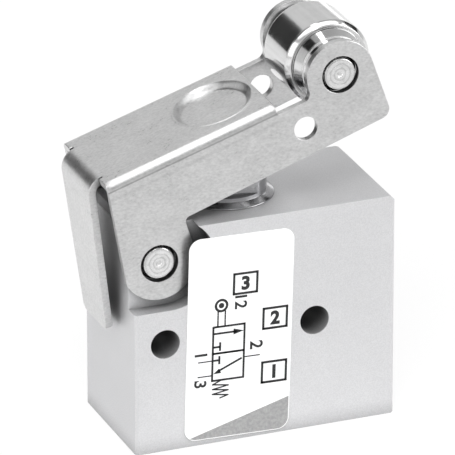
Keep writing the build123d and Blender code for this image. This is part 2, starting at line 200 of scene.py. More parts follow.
def softened(corners, radius, steps=4):
    """Profile whose inner corners are cut by a short parabola: each runs from a point
    before the corner to one after it, with the corner as the control point."""
    corners = np.asarray(corners, dtype=float)
    before, here, after = corners[:-2], corners[1:-1], corners[2:]
    back, ahead = before - here, after - here
    back_length = np.linalg.norm(back, axis=1, keepdims=True)
    ahead_length = np.linalg.norm(ahead, axis=1, keepdims=True)
    start = here + back / back_length * np.minimum(radius, 0.45 * back_length)
    end = here + ahead / ahead_length * np.minimum(radius, 0.45 * ahead_length)
    t = np.linspace(0, 1, steps)[None, :, None]
    curve = (1 - t) ** 2 * start[:, None] + 2 * t * (1 - t) * here[:, None] + t**2 * end[:, None]
    return np.vstack([corners[:1], curve.reshape(-1, 2), corners[-1:]])


def turned(profile, segments=160, axis="Z", place=(0, 0, 0)):
    """Surface of revolution: a point (radius, along) at angle a goes to radius cos a and
    radius sin a across the axis, and along it. Returns points in metres and faces."""
    radius, along = np.asarray(profile, dtype=float).T * mm
    angle = np.linspace(0, 2 * pi, segments, endpoint=False)
    across = radius[:, None] * np.cos(angle)
    upward = radius[:, None] * np.sin(angle)
    along = np.broadcast_to(along[:, None], across.shape)
    order = {"Z": (across, upward, along), "Y": (across, along, upward), "X": (along, across, upward)}
    points = np.stack(order[axis], -1).reshape(-1, 3) + np.asarray(place)
    return points, grid_faces(len(radius), segments, closed_columns=True)


def joined(*parts):
    """Several (points, faces) put into one."""
    points, faces, count = [], [], 0
    for part_points, part_faces in parts:
        points.append(part_points)
        faces += [[count + corner for corner in face] for face in part_faces]
        count += len(part_points)
    return np.vstack(points), faces


def coil(radius, wire, turns, bottom, top, around=16, per_turn=40):
    """Compression spring with closed ends: the height of the wire's middle rises
    smoothly between flat end turns, and a circle of the wire's radius is carried
    along, turned to lie across it."""
    turn = np.linspace(0, 2 * pi * turns, int(turns * per_turn) + 1)
    part = np.clip((turn / (2 * pi) - 0.8) / (turns - 1.6), 0, 1)
    height = bottom + wire + (top - bottom - 2 * wire) * part
    slope = np.gradient(height, turn)
    angle = np.linspace(0, 2 * pi, around, endpoint=False)
    tilt = np.arctan2(slope, radius)[:, None]
    out = wire * np.cos(angle)[None, :]
    up = wire * np.sin(angle)[None, :]
    turn = turn[:, None]
    x = (radius + out) * np.cos(turn) + up * np.sin(tilt) * np.sin(turn)
    y = (radius + out) * np.sin(turn) - up * np.sin(tilt) * np.cos(turn)
    z = height[:, None] + up * np.cos(tilt)
    points = np.stack([x, y, z], -1).reshape(-1, 3) * mm + (plunger_axis_x, 0, 0)
    rows = len(turn)
    faces = grid_faces(rows, around, closed_columns=True)
    faces.append(list(range(around))[::-1])
    faces.append(list(range((rows - 1) * around, rows * around)))
    return points, faces


# Materials


class Recipe:
    """A small node tree: nodes are added by type, and their sockets are set or joined."""

    def __init__(self, name):
        self.material = bpy.data.materials.new(name)
        self.material.use_nodes = True
        self.tree = self.material.node_tree
        self.shader = self.tree.nodes["Principled BSDF"]
        self.place = self.add("ShaderNodeTexCoord").outputs["Object"]

    def add(self, kind, values=(), **settings):
        node = self.tree.nodes.new(kind)
        for name, value in settings.items():
            setattr(node, name, value)
        for socket, value in dict(values).items():
            self.put(node.inputs[socket], value)
        return node

    def put(self, socket, value):
        if isinstance(value, bpy.types.NodeSocket):
            self.tree.links.new(value, socket)
        else:
            socket.default_value = value

    def stretched(self, scale, turn=(0, 0, 0), origin=(0, 0, 0)):
        """Object coordinates, turned and scaled about a point."""
        moved = self.add("ShaderNodeMapping", {0: self.place, 1: [-v for v in origin]})
        return self.add(
            "ShaderNodeMapping", {0: moved.outputs[0], 2: turn, 3: scale}
        ).outputs[0]

    def noise(self, where, scale, detail=3.0, roughness=0.5):
        values = {"Vector": where, "Scale": scale, "Detail": detail, "Roughness": roughness}
        return self.add("ShaderNodeTexNoise", values).outputs["Fac"]

    def spread(self, value, low, high, low_out=0.0, high_out=1.0):
        values = {0: value, 1: low, 2: high, 3: low_out, 4: high_out}
        return self.add("ShaderNodeMapRange", values).outputs[0]

    def combine(self, operation, first, second):
        values = {0: first, 1: second}
        return self.add("ShaderNodeMath", values, operation=operation).outputs[0]

    def painted_crevice_shade(self, reach, darkest):
        """Painted shade: a factor that falls towards the darkest where other surfaces lie close by, darkening the
        colour in gaps, recesses and under other parts.
        """
        values = {"Distance": reach}
        opened = self.add("ShaderNodeAmbientOcclusion", values, samples=8).outputs["AO"]
        return self.spread(opened, 0.05, 0.7, darkest, 1.0)

    def shade(self, base, factor):
        """The base colour made lighter or darker by a factor that varies."""
        scaled = self.add("ShaderNodeVectorMath", operation="SCALE")
        scaled.inputs[0].default_value = base
        self.put(scaled.inputs["Scale"], factor)
        self.put(self.shader.inputs["Base Color"], scaled.outputs[0])

    def rounded(self, radius):
        """Normal that turns smoothly over edges of that rounding."""
        return self.add("ShaderNodeBevel", {"Radius": radius}, samples=6).outputs[0]

    def relief(self, height, depth, strength=1.0, normal=None):
        values = {"Height": height, "Distance": depth, "Strength": strength}
        if normal:
            values["Normal"] = normal
        bump = self.add("ShaderNodeBump", values).outputs[0]
        self.put(self.shader.inputs["Normal"], bump)

    def finish(self, **values):
        names = {"metal": "Metallic", "roughness": "Roughness", "specular": "Specular IOR Level"}
        names.update(coat="Coat Weight", coat_roughness="Coat Roughness")
        names.update(anisotropy="Anisotropic")
        for name, value in values.items():
            self.put(self.shader.inputs[names[name]], value)
        return self.material


def named_material(name):
    return bpy.data.materials.get(name)


def anodised_aluminium():
    """Etched and anodised face: fine even grain, with a faint cloud in its tone."""
    recipe = Recipe("anodised_aluminium")
    grain = recipe.noise(recipe.place, 9000.0, 2.0, 0.6)
    cloud = recipe.noise(recipe.place, 260.0, 3.0, 0.5)
    tone = recipe.combine("ADD", recipe.spread(grain, 0.3, 0.7, 0.93, 1.07),
                          recipe.spread(cloud, 0.3, 0.7, -0.02, 0.02))
    # painted shade: the block's colour darkens where other surfaces lie within 4 mm, in the gap behind the flap
    # and under the lever
    tone = recipe.combine("MULTIPLY", tone, recipe.painted_crevice_shade(4 * mm, 0.12))
    recipe.shade(colours().aluminium, tone)
    recipe.relief(grain, 0.012 * mm, 0.35, recipe.rounded(sizes().block_edge))
    return recipe.finish(metal=0.75, roughness=recipe.spread(cloud, 0.3, 0.7, 0.5, 0.58))


def painted_bend_shade(recipe, height, width, depth):
    """Painted shade: a dark line along a side plate, below its bend, standing for the shading there; a factor
    that dips where the distance from the line is less than its width."""
    lever = recipe.stretched((1.0, 1.0, 1.0), turn=(0, sizes().rest_angle, 0), origin=tuple(pivot))
    parts = recipe.add("ShaderNodeSeparateXYZ", {0: lever}).outputs
    gap = recipe.combine("ABSOLUTE", recipe.combine("SUBTRACT", parts["Z"], height * mm), 0.0)
    wander = recipe.spread(recipe.noise(recipe.place, 900.0), 0.3, 0.7, 0.7, 1.3)
    line = recipe.spread(recipe.combine("MULTIPLY", gap, wander), 0.0, width * mm, depth, 1.0)
    side = recipe.spread(recipe.combine("ABSOLUTE", parts["Y"], 0.0), 6.3 * mm, 6.4 * mm, 1.0, 0.0)
    beyond = recipe.spread(parts["X"], 15.5 * mm, 17.5 * mm)
    return recipe.combine("MAXIMUM", line, recipe.combine("MAXIMUM", side, beyond))


def zinc_sheet():
    """Plated cold-rolled sheet: mottled grain drawn out slightly along the rolling."""
    recipe = Recipe("zinc_sheet")
    angle = sizes().rest_angle
    along = recipe.stretched((0.6, 1.0, 1.0), turn=(0, angle, 0), origin=tuple(pivot))
    mottle = recipe.noise(along, 4200.0, 4.0, 0.65)
    patch = recipe.noise(along, 520.0, 3.0, 0.5)
    tone = recipe.combine("ADD", recipe.spread(mottle, 0.3, 0.7, 0.86, 1.12),
                          recipe.spread(patch, 0.3, 0.7, -0.05, 0.05))
    # painted shade: two dark lines along each side plate, below the side bend
    bend_shade = recipe.combine("MULTIPLY", painted_bend_shade(recipe, 9.95, 0.14, 0.5),
                          painted_bend_shade(recipe, 9.05, 0.3, 0.9))
    tone = recipe.combine("MULTIPLY", tone, bend_shade)
    # painted shade: the sheet's colour darkens where other surfaces lie within 3 mm
    tone = recipe.combine("MULTIPLY", tone, recipe.painted_crevice_shade(3 * mm, 0.2))
    recipe.shade(colours().zinc, tone)
    recipe.relief(mottle, 0.01 * mm, 0.35)
    rough = recipe.combine("ADD", recipe.spread(mottle, 0.3, 0.7, 0.28, 0.38),
                           recipe.spread(patch, 0.3, 0.7, -0.03, 0.03))
    return recipe.finish(metal=1.0, roughness=rough)


def polished_steel():
    """Polished roller: fine turning lines round the axis, nearly lost in the polish."""
    recipe = Recipe("polished_steel")
    lines = recipe.noise(recipe.stretched((0.02, 1.0, 0.02)), 14000.0, 2.0, 0.5)
    haze = recipe.noise(recipe.place, 700.0, 2.0, 0.5)
    recipe.shade(colours().polished, recipe.spread(haze, 0.3, 0.7, 0.97, 1.02))
    recipe.relief(lines, 0.002 * mm, 0.35)
    return recipe.finish(metal=1.0, roughness=recipe.spread(haze, 0.3, 0.7, 0.1, 0.16))


def ground_steel(centre, name):
    """End of a pin: rings left by the facing cut, about the pin's middle, and painted shade in the groove round
    the end.
    """
    recipe = Recipe(name)
    moved = recipe.stretched((1.0, 0.0, 1.0), origin=tuple(centre))
    reach = recipe.add("ShaderNodeVectorMath", {0: moved}, operation="LENGTH").outputs["Value"]
    haze = recipe.noise(recipe.place, 1500.0, 2.0, 0.5)
    wander = recipe.combine("MULTIPLY", haze, 0.35 * mm)
    turns = recipe.combine("MULTIPLY", recipe.combine("ADD", reach, wander), 2 * pi / (0.46 * mm))
    rings = recipe.combine("SINE", turns, 0.0)
    # painted shade: the colour falls almost to black beyond the end disc, in the groove round the pin's end
    groove = recipe.spread(reach, 1.71 * mm, 1.76 * mm, 1.0, 0.12)
    tone = recipe.combine("MULTIPLY", recipe.spread(haze, 0.3, 0.7, 0.86, 1.06),
                          recipe.spread(rings, -1.0, 0.0, 0.8, 1.0))
    recipe.shade(colours().ground, recipe.combine("MULTIPLY", groove, tone))
    recipe.relief(rings, 0.01 * mm, 0.8)
    return recipe.finish(metal=1.0, roughness=recipe.spread(haze, 0.3, 0.7, 0.2, 0.3))


def turned_steel():
    """Turned surface about the plunger's axis, with fine feed lines."""
    recipe = Recipe("turned_steel")
    lines = recipe.noise(recipe.stretched((0.03, 0.03, 1.0)), 9000.0, 2.0, 0.5)
    # painted shade: the colour darkens almost to black where other surfaces lie within 4 mm
    tone = recipe.combine("MULTIPLY", recipe.painted_crevice_shade(4 * mm, 0.05),
                          recipe.spread(lines, 0.3, 0.7, 0.93, 1.05))
    recipe.shade(colours().turned, tone)
    recipe.relief(lines, 0.004 * mm, 0.4)
    return recipe.finish(metal=1.0, roughness=recipe.spread(lines, 0.3, 0.7, 0.12, 0.2))


def brass():
    """Turned brass, slightly dulled in patches."""
    recipe = Recipe("turned_brass")
    lines = recipe.noise(recipe.stretched((0.03, 0.03, 1.0)), 8000.0, 2.0, 0.5)
    dull = recipe.noise(recipe.place, 600.0, 3.0, 0.6)
    recipe.shade(colours().brass, recipe.spread(dull, 0.3, 0.7, 0.85, 1.05))
    recipe.relief(lines, 0.006 * mm, 0.4)
    return recipe.finish(metal=1.0, roughness=recipe.spread(dull, 0.3, 0.7, 0.25, 0.4))


def spring_wire():
    """Drawn steel wire with a dark oiled tone."""
    recipe = Recipe("spring_wire")
    streak = recipe.noise(recipe.place, 2500.0, 3.0, 0.6)
    recipe.shade(colours().wire, recipe.spread(streak, 0.3, 0.7, 0.85, 1.1))
    recipe.relief(streak, 0.004 * mm, 0.3)
    return recipe.finish(metal=1.0, roughness=recipe.spread(streak, 0.3, 0.7, 0.28, 0.4))


def nitrile_rubber():
    """Moulded black rubber with a fine matt texture."""
    recipe = Recipe("nitrile_rubber")
    pores = recipe.noise(recipe.place, 6000.0, 3.0, 0.6)
    recipe.shade(colours().rubber, recipe.spread(pores, 0.3, 0.7, 0.8, 1.3))
    recipe.relief(pores, 0.01 * mm, 0.4)
    return recipe.finish(metal=0.0, roughness=recipe.spread(pores, 0.3, 0.7, 0.5, 0.7))


def label_film():
    """White polyester film with a faint ripple from the glue under it."""
    recipe = Recipe("label_film")
    ripple = recipe.noise(recipe.place, 420.0, 2.0, 0.4)
    fibre = recipe.noise(recipe.place, 5000.0, 2.0, 0.6)
    recipe.shade(colours().film, recipe.spread(fibre, 0.3, 0.7, 0.985, 1.0))
    recipe.relief(ripple, 0.01 * mm, 0.15)
    return recipe.finish(metal=0.0, roughness=recipe.spread(fibre, 0.3, 0.7, 0.36, 0.44))


def ink(name, base):
    """Screen ink, a little uneven in density."""
    recipe = Recipe(name)
    density = recipe.noise(recipe.place, 3500.0, 3.0, 0.6)
    recipe.shade(base, recipe.spread(density, 0.35, 0.75, 0.95, 1.35))
    return recipe.finish(metal=0.0, roughness=recipe.spread(density, 0.3, 0.7, 0.45, 0.6))


def recoloured(node, finish):
    """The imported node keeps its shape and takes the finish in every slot."""
    piece = frame["nodes"][node]
    piece.data.materials.clear()
    piece.data.materials.append(finish)
    return piece


def round_shading():
    """Node group that shades every face of a mesh round."""
    group = bpy.data.node_groups.get("round_shading")
    if group is None:
        group = bpy.data.node_groups.new("round_shading", "GeometryNodeTree")
        group.interface.new_socket("Mesh", in_out="INPUT", socket_type="NodeSocketGeometry")
        group.interface.new_socket("Mesh", in_out="OUTPUT", socket_type="NodeSocketGeometry")
        start, end = group.nodes.new("NodeGroupInput"), group.nodes.new("NodeGroupOutput")
        shade = group.nodes.new("GeometryNodeSetShadeSmooth")
        group.links.new(start.outputs[0], shade.inputs["Geometry"])
        group.links.new(shade.outputs[0], end.inputs[0])
    return group


def smoothed(piece, angle=30.0):
    """Loose triangles are joined and shaded round, with edges above the angle sharp.
    Modifiers do it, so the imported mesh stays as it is."""
    weld = piece.modifiers.new("joined", "WELD")
    weld.merge_threshold = 1e-6
    piece.modifiers.new("round_shading", "NODES").node_group = round_shading()
    split = piece.modifiers.new("sharp_edges", "EDGE_SPLIT")
    split.split_angle = radians(angle)


# Lever, drawn as a flat blank and then folded


class Blank:
    """The lever's sizes in millimetres. On the flat blank, u runs along the web from
    the pivot and s across it from the middle line. Folded, v is the height above the
    pivot, square to the web."""

    half = 6.5
    outer_bend = 1.0
    web_top = 10.8
    web_start, web_end = -2.6, 16.9
    ear = 4.05
    low_edge, low_slope = 3.4, tan(radians(1.65))
    boss, roller_u, roller_v = 3.7, 24.48, 10.96
    plate_end = 28.4
    dimple_u, dimple_floor, dimple_rim = 12.25, 3.4, 4.3
    dimple_lip = 0.045
    flap_start, flap_bend, flap_turn = -2.18, 2.0, radians(79.7)
    flap_length, flap_half, flap_tip = 15.73, 4.0, 3.25
    slit = 0.3
    holes = ((0, 0, 2.05), (roller_u, roller_v, 2.02), (19.2, 7.0, 1.28))

    def __init__(self):
        self.sheet = sizes().sheet / mm
        self.flat_half = self.half - self.outer_bend
        self.side_radius = self.outer_bend - self.sheet / 2
        self.side_start = self.flat_half + self.side_radius * pi / 2
        self.plate_top = self.web_top - self.outer_bend
        self.flap_radius = self.flap_bend - self.sheet / 2
        self.flap_arc = self.flap_radius * self.flap_turn

    def across(self, v):
        """s of a point of the side plate at height v."""
        return self.side_start + self.plate_top - v

    def fold(self, u, s, h):
        """Folded place of blank points, h above the sheet's middle. The web lies flat.
        Each side bend turns a quarter circle and its plate hangs straight down. The
        flap turns round the rear bend and runs on straight. The dimple sinks the web
        by an s-shaped curve of the distance from its centre, and a low lip, shaped
        like a bell curve of that distance, stands round its rim."""
        u, s, h = np.broadcast_arrays(*map(np.asarray, (u, s, h)))
        out = np.abs(s)
        middle = self.web_top - self.sheet / 2
        plate = (out > self.side_start) | (u > self.web_end + 1e-6)
        turn = np.clip((out - self.flat_half) / self.side_radius, 0, pi / 2)
        turn = np.where(plate, pi / 2, turn)
        drop = np.where(plate, out - self.side_start, 0)
        flat = np.minimum(out, self.flat_half)
        flat = np.where(plate, self.flat_half, flat)
        y = flat + (self.side_radius + h) * np.sin(turn)
        v = middle - self.side_radius + (self.side_radius + h) * np.cos(turn) - drop
        reach = np.hypot(u - self.dimple_u, s)
        t = np.clip((self.dimple_rim - reach) / (self.dimple_rim - self.dimple_floor), 0, 1)
        v = v - sizes().dimple_depth / mm * t * t * (3 - 2 * t)
        v = v + self.dimple_lip * np.exp(-(((reach - self.dimple_rim) / 0.15) ** 2))
        y = y * np.sign(s)
        rear = (u < self.flap_start) & (out < self.flap_half + self.slit / 2)
        run = np.maximum(self.flap_start - u, 0)
        bend = np.minimum(run / self.flap_radius, self.flap_turn)
        rest = np.maximum(run - self.flap_arc, 0)
        flap_u = self.flap_start - (self.flap_radius + h) * np.sin(bend)
        flap_u = flap_u - rest * cos(self.flap_turn)
        flap_v = middle - self.flap_radius + (self.flap_radius + h) * np.cos(bend)
        flap_v = flap_v - rest * sin(self.flap_turn)
        u = np.where(rear, flap_u, u)
        v = np.where(rear, flap_v, v)
        angle = sizes().rest_angle
        x = u * cos(angle) - v * sin(angle)
        z = u * sin(angle) + v * cos(angle)
        return np.stack([x, y, z], -1) * mm + pivot


def corner_arc(before, corner, after, radius, steps=10):
    """Points of the arc of that radius which touches both lines through the corner."""
    before, corner, after = (np.asarray(p, dtype=float) for p in (before, corner, after))
    back = (before - corner) / np.linalg.norm(before - corner)
    ahead = (after - corner) / np.linalg.norm(after - corner)
    half_angle = np.arccos(np.clip(back @ ahead, -1, 1)) / 2
    reach = radius / np.tan(half_angle)
    middle = corner + (back + ahead) / np.linalg.norm(back + ahead) * radius / np.sin(half_angle)
    start, end = corner + back * reach - middle, corner + ahead * reach - middle
    t = np.linspace(0, 1, steps)[:, None]
    sweep = pi - 2 * half_angle
    points = (np.sin((1 - t) * sweep) * start + np.sin(t * sweep) * end) / np.sin(sweep)
    return middle + points


def arc(centre, radius, start, end, steps):
    angle = np.linspace(start, end, steps)[:, None]
    return np.asarray(centre) + radius * np.hstack([np.cos(angle), np.sin(angle)])


def blank_side(blank):
    """Half of the blank's outline, from the web's right end round the side plate to
    the tip of the flap, as (u, s)."""
    at = lambda u, v: (u, blank.across(v))
    left = blank.roller_u - blank.boss
    right = blank.roller_u + blank.boss
    top = blank.plate_top
    low = lambda u: blank.low_edge + u * blank.low_slope
    lean = radians(9.5)
    flap_end = blank.flap_start - blank.flap_arc - blank.flap_length
    flat_start = blank.flap_start - blank.flap_arc
    tip = (flap_end, blank.flap_tip)
    return np.vstack([
        [(blank.web_end, 0), (blank.web_end, blank.flat_half)],
        [at(blank.web_end, top)],
        corner_arc(at(blank.web_end, top), at(left, top), at(left, blank.roller_v), 0.9),
        arc(at(blank.roller_u, blank.roller_v), blank.boss, pi, 2 * pi, 48),
        corner_arc(
            at(right, blank.roller_v),
            at(blank.plate_end, low(blank.plate_end)),
            at(0, low(0)),
            1.1,
        ),
        corner_arc(
            at(blank.plate_end, low(blank.plate_end)), at(blank.ear, low(blank.ear)),
            at(blank.ear, 0), 0.6,
        ),
        arc(at(0, 0), blank.ear, 0, pi - lean, 48),
        [at(blank.web_start, top), (blank.web_start, blank.flat_half)],
        [(blank.web_start, blank.flap_half + blank.slit)],
        [(blank.flap_start, blank.flap_half + blank.slit), (blank.flap_start, blank.flap_half)],
        [(flat_start, blank.flap_half)],
        corner_arc((flat_start, blank.flap_half), tip, (flap_end, 0), 0.8),
        [(flap_end, 0)],
    ])


def subdivided(loop, step):
    """Closed loop with extra points, so that none lie further apart than the step."""
    loop = loop[np.linalg.norm(loop - np.roll(loop, 1, axis=0), axis=1) > 1e-5]
    gap = np.linalg.norm(np.roll(loop, -1, axis=0) - loop, axis=1)
    along = np.concatenate([[0], np.cumsum(gap)])
    parts = np.ceil(gap / step).astype(int)
    start = np.repeat(np.arange(len(loop)), parts)
    within = np.arange(parts.sum()) - np.repeat(np.cumsum(parts) - parts, parts)
    distance = along[start] + within * (gap / parts)[start]
    closed = np.vstack([loop, loop[:1]])
    return np.stack([np.interp(distance, along, closed[:, k]) for k in (0, 1)], -1)


def outward(loop):
    """Unit normals of a closed loop, pointing away from the sheet on its left."""
    ahead = np.roll(loop, -1, axis=0) - loop
    ahead /= np.linalg.norm(ahead, axis=1, keepdims=True)
    mean = ahead + np.roll(ahead, 1, axis=0)
    mean /= np.linalg.norm(mean, axis=1, keepdims=True)
    return np.stack([mean[:, 1], -mean[:, 0]], -1)


def blank_inner_points(blank):
    """Points inside the blank: rows that follow the bends, a fan of rings over the
    dimple, and an even net on the side plates and the flap."""
    web_u = np.arange(blank.flap_start + 0.3, blank.web_end - 0.05, 0.4)
    bend_rows = np.linspace(blank.flat_half, blank.side_start, 11)
    flat_rows = np.linspace(0, blank.flat_half, 14)[:-1]
    web = np.meshgrid(web_u, np.concatenate([flat_rows, bend_rows]))
    plate_u = np.arange(-blank.ear, blank.plate_end + 0.5, 0.5)
    plate = np.meshgrid(plate_u, blank.side_start + np.arange(-4.9, 16.0, 0.5))
    flap_u = np.concatenate([
        blank.flap_start - np.linspace(0, blank.flap_arc, 17),
        blank.flap_start - blank.flap_arc - np.arange(0.5, blank.flap_length, 0.5),
    ])
    flap = np.meshgrid(flap_u, np.linspace(0, blank.flap_half, 10))
    web, plate, flap = (np.stack([a.ravel(), b.ravel()], -1) for a, b in (web, plate, flap))
    plate = plate[(plate[:, 0] > blank.web_end) | (plate[:, 1] > blank.side_start + 0.1)]
    web = web[np.hypot(web[:, 0] - blank.dimple_u, web[:, 1]) > blank.dimple_rim + 0.6]
    rings = np.concatenate([np.arange(0.5, 3.2, 0.5), np.linspace(3.3, 4.7, 26)])
    ring, angle = np.meshgrid(rings, np.linspace(0, pi, 49))
    fan = np.stack([blank.dimple_u + ring * np.cos(angle), ring * np.sin(angle)], -1)
    half = np.vstack([web, plate, flap, fan.reshape(-1, 2), [[blank.dimple_u, 0]]])
    return np.unique(np.round(np.vstack([half, half * (1, -1)]), 6) + 0.0, axis=0)


hole_steps = 72


def lever_surface():
    """Both skins of the folded blank, and the rounded rim that joins them round the
    outline and the holes."""
    blank = Blank()
    edge = sizes().sheet_edge / mm
    half_sheet = blank.sheet / 2
    side = blank_side(blank)
    outline = subdivided(np.vstack([side, (side * (1, -1))[::-1]]), 0.12)
    loops = [outline]
    holes = [
        (u, flip * blank.across(v), radius)
        for u, v, radius in blank.holes
        for flip in (1, -1)
    ]
    for u, s, radius in holes:
        loops.append(arc((u, s), radius, 2 * pi, 0, hole_steps + 1)[:-1])
    signed = 0.5 * np.sum(
        outline[:, 0] * np.roll(outline[:, 1], -1) - outline[:, 1] * np.roll(outline[:, 0], -1)
    )
    if signed < 0:
        loops[0] = outline[::-1]
    turn = np.linspace(pi / 2, -pi / 2, 7)
    offset = edge * (np.cos(turn) - 1)
    height = (half_sheet - edge) * np.sign(np.round(np.sin(turn), 6)) + edge * np.sin(turn)
    height[3] = 0
    rims, flat_loops = [], []
    for loop in loops:
        normal = outward(loop)
        ring = loop[None] + normal[None] * offset[:, None, None]
        points = blank.fold(ring[..., 0], ring[..., 1], height[:, None])
        rims.append((points.reshape(-1, 3), grid_faces(len(turn), len(loop), closed_columns=True)))
        flat_loops.append(loop - normal * edge)
    inner = blank_inner_points(blank)
    near = np.vstack(flat_loops)
    gap = np.min(np.hypot(*(inner[:, None] - near[None]).transpose(2, 0, 1)), axis=1)
    inner = inner[gap > 0.07]
    flat = np.vstack([near, inner])
    edges, start = [], 0
    for loop in flat_loops:
        index = np.arange(len(loop))
        edges.append(start + np.stack([index, (index + 1) % len(loop)], -1))
        start += len(loop)
    found = delaunay_2d_cdt(
        [Vector(p) for p in flat.tolist()], np.vstack(edges).tolist(), [], 1, 1e-7
    )
    flat = np.array([tuple(p) for p in found[0]])
    triangles = np.array([list(face) for face in found[2]])
    centre = flat[triangles].mean(axis=1)
    for u, s, radius in holes:
        clear = np.hypot(centre[:, 0] - u, centre[:, 1] - s) > (radius + edge) * cos(pi / hole_steps)
        triangles, centre = triangles[clear], centre[clear]
    used, triangles = np.unique(triangles, return_inverse=True)
    flat, triangles = flat[used], triangles.reshape(-1, 3)
    skins = [
        (blank.fold(flat[:, 0], flat[:, 1], h), triangles.tolist())
        for h in (half_sheet, -half_sheet)
    ]
    return joined(*skins, *rims)


# Operators, one for each piece or group of like pieces


class VALVE_OT_block(bpy.types.Operator):
    """Finishes the block and puts a screw thread in its two ports"""

    bl_idname = "valve.block"
    bl_label = "Valve block"

    def execute(self, context):
        aluminium = anodised_aluminium()
        smoothed(recoloured("valve_block", aluminium))
        parts = []
        for mount in frame["record"]["mounts"]:
            if mount["kind"] != "threaded_hole":
                continue
            parts.append(self.thread(mount))
        points, faces = joined(*parts)
        add_mesh("port_threads", points, faces, "valve", aluminium, sharp=50)
        return {"FINISHED"}

    def thread(self, mount):
        """Thin sleeve inside the port. Its inner face is a screw: the radius follows a
        triangle wave of the distance along the axis less the pitch times the turn."""
        pitch, depth = 0.8 * mm, sizes().thread_depth
        wall = mount["dims"]["r_mm"] * mm - 0.01 * mm
        mouth = block_high[0] - 0.45 * mm
        run = np.linspace(mouth - 4.4 * mm, mouth, 90)
        angle = np.linspace(0, 2 * pi, 72, endpoint=False)
        run, angle = np.meshgrid(run, angle, indexing="ij")
        phase = (run / pitch - angle / (2 * pi)) % 1.0
        wave = np.abs(2 * phase - 1)
        fade = np.clip((mouth - run) / (0.5 * mm), 0, 1)
        radius = wall - 0.01 * mm - depth * np.clip(1.35 * wave - 0.2, 0, 1) * fade
        inner = np.stack([run, radius * np.cos(angle), radius * np.sin(angle)], -1)
        outer = np.stack([run, wall * np.cos(angle), wall * np.sin(angle)], -1)
        rows = np.concatenate([inner, outer[::-1]])
        points = rows.reshape(-1, 3) + (0, mount["pos_m"][1], mount["pos_m"][2])
        return points, grid_faces(len(rows), 72, closed_rows=True, closed_columns=True)


class VALVE_OT_lever(bpy.types.Operator):
    """Folds the lever from its flat blank"""

    bl_idname = "valve.lever"
    bl_label = "Roller lever"

    def execute(self, context):
        points, faces = lever_surface()
        add_mesh("lever_sheet", points, faces, "lever", zinc_sheet(), ["roller_lever"])
        return {"FINISHED"}


class VALVE_OT_pins(bpy.types.Operator):
    """Makes the pivot pin and the roller pin, with a groove round each end"""

    bl_idname = "valve.pins"
    bl_label = "Pins"

    def execute(self, context):
        self.pin("pivot_pin_turned", pivot, "valve", "pivot_pin")
        self.pin("roller_pin_turned", roller_axis, "lever", "roller_pin")
        return {"FINISHED"}

    def pin(self, name, centre, body, node):
        low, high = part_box(node)
        half = (high[1] - low[1]) / 2 / mm
        radius = (high[0] - low[0]) / 2 / mm
        groove = sizes().pin_groove / mm
        disc = radius - groove
        end = [
            (0, half - 0.16), (0.2, half - 0.16), (0.34, half), (disc - 0.12, half),
            (disc, half - 0.1), (disc + 0.02, half - 0.9), (radius, half - 0.94), (radius, 0),
        ]
        end = softened(end, 0.05)
        profile = np.vstack([end, (end * (1, -1))[::-1][1:]])
        points, faces = turned(profile, 128, "Y", centre)
        finish = ground_steel(centre, name + "_finish")
        add_mesh(name, points, faces, body, finish, [node])


class VALVE_OT_roller(bpy.types.Operator):
    """Makes the roller and the two flanges pressed into it"""

    bl_idname = "valve.roller"
    bl_label = "Roller"

    def execute(self, context):
        steel = polished_steel()
        barrel = [
            (2.9, 0), (2.9, 2.94), (3.1, 3.04), (3.98, 3.34), (4.28, 3.34), (4.66, 2.86),
            (4.69, 2.7), (4.69, 0),
        ]
        barrel = softened(barrel, 0.08)
        profile = np.vstack([barrel, (barrel * (1, -1))[::-1][1:-1]])
        points, faces = turned(np.vstack([profile, profile[:1]]), 256, "Y", roller_axis)
        add_mesh("roller_barrel", points, faces, "roller", steel, ["roller"])
        flange = [
            (2.06, 2.8), (2.06, 0.4), (2.88, 0.4), (2.88, 2.98), (3.1, 3.1), (3.88, 3.38),
            (3.95, 3.44), (3.93, 3.52), (3.53, 4.5), (3.55, 4.58), (3.5, 4.68), (3.4, 4.7),
            (3.12, 5.4), (3.0, 5.5), (2.3, 5.5), (2.06, 5.4), (2.06, 2.8),
        ]
        flange = softened(flange, 0.06)
        sides = [turned(flange * (1, side), 192, "Y", roller_axis) for side in (1, -1)]
        points, faces = joined(*sides)
        add_mesh("roller_flanges", points, faces, "roller", steel, ["roller_bushes"])
        return {"FINISHED"}


